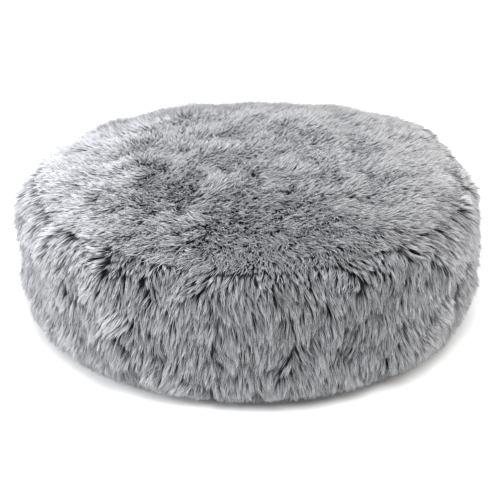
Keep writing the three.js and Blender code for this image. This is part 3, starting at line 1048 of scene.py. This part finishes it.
def outline_level(points):
    """1 on the line of the pile tips, less inside it and more outside."""
    radius = radii_of(points) / OUTER_RADIUS
    up = np.clip(points[:, 2] - WIDEST_HEIGHT, 0, None) / (OUTER_HEIGHT - WIDEST_HEIGHT)
    down = np.clip(WIDEST_HEIGHT - points[:, 2], 0, None) / (WIDEST_HEIGHT + WALL_REACH)
    power = np.where(up > 0, CROWN_POWER, WALL_POWER)
    return (radius ** power + np.maximum(up, down) ** power) ** (1 / power)


def pressed(points, fuzz):
    """Points brought back to the line of the pile tips where they stand out past it."""
    centre = np.array([0, 0, WIDEST_HEIGHT])
    level = outline_level(points)
    limit = 1 + fuzz + swell(points) / 0.28
    wanted = np.where(level > limit, limit + 0.15 * (level - limit), level)
    return centre + (points - centre) * (wanted / level)[:, None]


def grow(name, template, paths, radius, shade):
    """Builds the strands along their curves as one mesh, with its map of shade and height."""
    start, bend, end = paths
    shape = coordinates(template.data)
    middle = bezier(start, bend, end, shape[:, 2])
    along = unit(end - start)
    side = unit(np.cross(along, bend - start + 1e-6))
    up = np.cross(along, side)
    turn = np.random.default_rng(5).uniform(0, 2 * math.pi, len(start))
    side, up = (side * np.cos(turn)[:, None] + up * np.sin(turn)[:, None],
                up * np.cos(turn)[:, None] - side * np.sin(turn)[:, None])
    spread = (side[:, None] * shape[None, :, 0:1] + up[:, None] * shape[None, :, 1:2])
    points = middle + spread * radius[:, None, None]
    piece = copies(name, template.data, points)
    _, corners, _ = mesh_arrays(template.data)
    flat = np.empty((len(start), len(corners), 2), np.float32)
    flat[:, :, 0] = shade[:, None]
    flat[:, :, 1] = shape[corners, 2][None, :]
    piece.data.uv_layers.new(name=PILE_MAP).data.foreach_set("uv", flat.ravel())
    return piece


class FurPanel:
    """One fur panel while it is planted: its outline, its azimuths and how its pile lies."""

    def __init__(self, name, outline, sectors, low, high, settings, seed):
        self.name, self.outline, self.sectors, self.low, self.high = name, outline, sectors, low, high
        self.is_top = name == "top_panel"
        self.length = settings.top_length if self.is_top else settings.wall_length
        self.spacing = settings.top_lock if self.is_top else settings.wall_lock
        self.rng = np.random.default_rng(seed)

    def lay(self, roots, normals, wild, twist, lift):
        """The curve of each strand or lock. wild is how much one differs from the next."""
        azimuth = azimuths_of(roots)
        reach = radii_of(roots) / SEAM_RADIUS
        wish = np.stack([np.cos(azimuth), np.sin(azimuth), 0 * azimuth], 1)
        count = len(roots)
        front = np.exp(-((azimuth + math.pi / 2) / 0.65) ** 2)
        over = np.clip(0.64 - 0.42 * front + 0.6 * smooth_noise(roots, 0.04, 71), 0.18, 1)
        if self.is_top:
            edge = smooth_step((reach - 0.78) / 0.2)
            outward = smooth_step((reach - 0.30) / 0.62)[:, None]
            wish = wish * outward + np.array([0.50, -0.80, 0.0]) * (1 - outward)
            swirl = smooth_noise(roots, 0.05, 31) * 0.30 + smooth_noise(roots, 0.014, 33) * 0.40
            lean = np.radians(48 + 6 * np.clip(reach, 0, 1) + 12 * edge * over + 6 * front * (1 - edge))
            wish[:, 2] = -0.2 - 0.9 * edge * over
            droop = 0.04 + 0.10 * edge
        else:
            near_seam = smooth_step((roots[:, 2] - 0.150) / 0.02)
            swirl = smooth_noise(roots, 0.06, 41) * 0.3
            lean = np.radians(62 - 14 * near_seam * over)
            wish = wish * 0.12
            wish[:, 2] = -1
            droop = 0.12 + 0 * azimuth
        lean = lean + smooth_noise(roots, 0.035, 32) * (0.07 if self.is_top else 0.13) + lift
        lean = lean + self.rng.normal(0, 0.16 * wild, count)
        tangle = 0.35 + 0.6 * np.clip(1.1 - reach, 0, 1) if self.is_top else 0.30
        turn = swirl + twist + self.rng.normal(0, 1, count) * tangle * wild
        lie = combed(normals, wish, turn)
        long = self.length * (1 + 0.10 * smooth_noise(roots, 0.02, 51))
        long = long * self.rng.uniform(1 - 0.35 * wild, 1.04, count)
        return strand_paths(roots, normals, lie, lean, long, droop)

    def tufts(self, tree, roots):
        """Broad tufts that the locks belong to: each leans its own way, with a parting between two."""
        centres = lattice(self.outline, int(band_area(self.outline) / TUFT_SPACING ** 2))
        centres += self.rng.normal(scale=TUFT_SPACING * 0.3, size=centres.shape)
        centres, normals = on_form(tree, centres)
        count = len(centres)
        twist = self.rng.normal(0, 0.20 if self.is_top else 0.28, count)
        lift = self.rng.normal(0, 0.08 if self.is_top else 0.23, count)
        ends = self.lay(centres, normals, 0.1, twist, lift)[2]
        shade = self.rng.normal(0, 0.5, count)
        which, far = nearest_of(roots, centres, 2)
        share = smooth_step(0.5 + (far[:, 1] - far[:, 0]) / (TUFT_SPACING * 0.5))

        def mixed(values):
            return values[which[:, 0]] * share + values[which[:, 1]] * (1 - share)

        return mixed(twist), mixed(lift), ends[which[:, 0]], mixed(shade)

    def locks(self, tree):
        centres = lattice(self.outline, int(band_area(self.outline) / self.spacing ** 2))
        centres += self.rng.normal(scale=self.spacing * 0.3, size=centres.shape)
        centres, normals = on_form(tree, centres)
        twist, lift, tuft_ends, tuft_shade = self.tufts(tree, centres)
        start, bend, end = self.lay(centres, normals, 0.8, twist, lift)
        end = end + (tuft_ends - end) * (0.06 if self.is_top else 0.20)
        shade = tuft_shade * 0.5 + self.rng.normal(0, 0.7, len(centres))
        return centres, (start, bend, end), twist, lift, shade

    def strands(self, tree, settings):
        count = int(settings.per_piece * self.sectors * 2 * math.pi / (self.high - self.low))
        places = lattice(self.outline, count)
        azimuth = azimuths_of(places)
        places = places[(azimuth >= self.low) & (azimuth < self.high)]
        places += self.rng.normal(scale=0.0006, size=places.shape)
        roots, normals = on_form(tree, places)
        centres, lock_paths, twist, lift, lock_shade = self.locks(tree)
        which = nearest_of(roots, centres, 1)[0][:, 0]
        start, bend, end = self.lay(roots, normals, 0.7, twist[which], lift[which])
        loosest, tightest = (0.20, 0.85) if self.is_top else (0.70, 1.0)
        pull = self.rng.uniform(loosest, tightest, len(roots))
        pull[self.rng.random(len(roots)) < 0.14] *= 0.25
        pull = pull[:, None]
        bend = bend + (lock_paths[1][which] - bend) * pull * 0.55
        end = end + (lock_paths[2][which] - end) * pull + self.rng.normal(0, 0.0011, end.shape)
        contrast = 0.09 if self.is_top else 0.155
        shade = 0.5 + contrast * (lock_shade[which] + 1.3 * self.rng.normal(0, 1, len(roots)))
        fuzz = np.abs(self.rng.normal(0, 0.007, len(roots)))
        return roots, (start, pressed(bend, fuzz), pressed(end, fuzz)), np.clip(shade, 0.02, 0.98)


class CUSHION_OT_pile(bpy.types.Operator):
    """Plant the fur on the top panel and the wall, in locks"""
    bl_idname = "cushion.pile"
    bl_label = "Fur"

    def execute(self, context):
        settings = context.scene.cushion_pile
        inset = context.scene.cushion_cover.backing_inset
        form = form_object()
        tree = BVHTree.FromPolygons(
            [v.co for v in form.data.vertices], [list(p.vertices) for p in form.data.polygons])
        material = pile_material(settings)
        template = strand_template()
        crown = [crown_outline(inset, share) for share in np.linspace(1, 0, 90)]
        top = [place for place in crown if place[1] > SEAM_LINE]
        wall = [place for place in crown if place[1] <= SEAM_LINE]
        wall += [wall_outline(inset, z) for z in np.linspace(WIDEST_HEIGHT, 0.010, 40)]
        panels = (
            FurPanel("top_panel", top, 4, -math.pi, math.pi, settings, 101),
            FurPanel("side_wall_front", wall, 3, -math.pi, 0.0, settings, 102),
            FurPanel("side_wall_back", wall, 2, 0.0, math.pi, settings, 103),
        )
        for panel in panels:
            self.plant(panel, tree, template, material, settings)
        bpy.data.objects.remove(template)
        return {"FINISHED"}

    def plant(self, panel, tree, template, material, settings):
        roots, paths, shade = panel.strands(tree, settings)
        keep, paths = trimmed(roots, paths)
        azimuth = azimuths_of(roots)
        radius = settings.width * panel.rng.uniform(0.7, 1.2, len(roots))
        if panel.name == "side_wall_back":
            radius *= 1.2
        edges = np.linspace(panel.low, panel.high, panel.sectors + 1)
        for index in range(panel.sectors):
            chosen = keep & (azimuth >= edges[index]) & (azimuth < edges[index + 1])
            chosen = np.nonzero(chosen)[0][:STRAND_LIMIT]
            part = tuple(place[chosen] for place in paths)
            name = f"{panel.name}_pile_{index + 1}"
            piece = grow(name, template, part, radius[chosen], shade[chosen])
            finish_piece(piece, name, "cover", material, [panel.name])


def trimmed(roots, paths):
    """Keeps the pile off the floor, and cuts it short above the zip."""
    start, bend, end = paths
    rng = np.random.default_rng(9)
    lift = 0.0012 + rng.uniform(0, 0.002, len(roots))
    bend[:, 2] = np.maximum(bend[:, 2], lift + 0.001)
    end[:, 2] = np.maximum(end[:, 2], lift)
    azimuth = azimuths_of(roots)
    inside = (azimuth > RECESS_FROM - 0.01) & (azimuth < RECESS_TO + 0.01)
    keep = ~(inside & (roots[:, 2] < ZIP_TOP + 0.001))
    hem = ZIP_TOP - 0.0035 + rng.gamma(1.6, 0.0016, len(roots))
    hem = hem + 0.002 * np.abs(smooth_noise(roots, 0.012, 81))
    low = inside & (end[:, 2] < hem)
    reach = np.linalg.norm(end - start, axis=1)
    outward = unit(np.stack([start[:, 0], start[:, 1], 0 * reach], 1))
    drop = start[:, 2] - hem
    spread = np.sqrt(np.maximum((reach * 0.6) ** 2 - drop ** 2, 0.004 ** 2))
    short = start + outward * spread[:, None]
    short[:, 2] = hem
    end[low] = short[low]
    bend[low] = (start + (short - start) * 0.5)[low]
    bend[low, 2] += 0.002
    return keep, (start, bend, end)


# ---- stage ----
# name, place, size in metres, power in watts and colour
LIGHTS = (
    ("key", (-2.9, -0.55, 0.50), 2.8, 250, (0.975, 0.985, 1.0)),
    ("rim", (2.5, 0.05, 0.65), 2.2, 72, (1.0, 0.965, 0.92)),
    ("overhead", (0.1, -0.80, 2.35), 2.0, 72, (1.0, 1.0, 1.0)),
)


class CUSHION_OT_stage(bpy.types.Operator):
    """Set the floor, the camera and the lights"""
    bl_idname = "cushion.stage"
    bl_label = "Stage"

    def execute(self, context):
        deselect_all()
        bpy.ops.mesh.primitive_plane_add(size=12, location=(0, 0, 0))
        floor = context.object
        floor.name = "floor"
        floor.data.materials.append(
            new_material("pale_floor", Base_Color=(0.92, 0.92, 0.92, 1), Roughness=0.85)[0])
        self.camera(context)
        for lamp in LIGHTS:
            self.light(*lamp)
        world = bpy.data.worlds.new("studio")
        world.use_nodes = True
        set_inputs(world.node_tree.nodes["Background"], Color=(0.97, 0.98, 1.0, 1), Strength=0.44)
        context.scene.view_settings.view_transform = "Standard"
        context.scene.world = world
        return {"FINISHED"}

    def camera(self, context):
        elevation, distance, focal = math.radians(24.5), 1.95, 109.0
        middle = Vector((0, 0, OUTER_HEIGHT / 2))
        place = middle + Vector((0, -math.cos(elevation), math.sin(elevation))) * distance
        aim = middle - Vector((0, 0, 0.0425))
        data = bpy.data.cameras.new("camera")
        data.lens = focal
        data.sensor_width = 36
        camera = bpy.data.objects.new("camera", data)
        camera.location = place
        camera.rotation_euler = (aim - place).to_track_quat("-Z", "Y").to_euler()
        context.scene.collection.objects.link(camera)
        context.scene.camera = camera

    def light(self, name, place, size, power, colour):
        data = bpy.data.lights.new(name, "AREA")
        data.size = size
        data.energy = power
        data.color = colour
        lamp = bpy.data.objects.new(name, data)
        lamp.location = place
        lamp.rotation_euler = (Vector((0, 0, 0.1)) - Vector(place)).to_track_quat("-Z", "Y").to_euler()
        bpy.context.scene.collection.objects.link(lamp)


class CUSHION_PT_panel(bpy.types.Panel):
    """The cushion's pieces"""
    bl_idname = "CUSHION_PT_panel"
    bl_label = "Pet cushion bed"
    bl_space_type = "VIEW_3D"
    bl_region_type = "UI"
    bl_category = "Cushion"

    def draw(self, context):
        for operator in STEPS:
            self.layout.operator(operator.bl_idname)


STEPS = (CUSHION_OT_form, CUSHION_OT_cover, CUSHION_OT_pad, CUSHION_OT_pile, CUSHION_OT_base, CUSHION_OT_zip,
         CUSHION_OT_label, CUSHION_OT_stage)
CLASSES = (PileSettings, CoverSettings, *STEPS, CUSHION_PT_panel)


def register():
    for made in CLASSES:
        bpy.utils.register_class(made)
    for name, group in SETTINGS.items():
        setattr(bpy.types.Scene, name, PointerProperty(type=group))


def unregister():
    for name in SETTINGS:
        delattr(bpy.types.Scene, name)
    for made in reversed(CLASSES):
        bpy.utils.unregister_class(made)


def main():
    register()
    for operator in STEPS:
        group, name = operator.bl_idname.split(".")
        getattr(getattr(bpy.ops, group), name)()
    bpy.data.objects.remove(form_object())


if __name__ == "__main__":
    main()
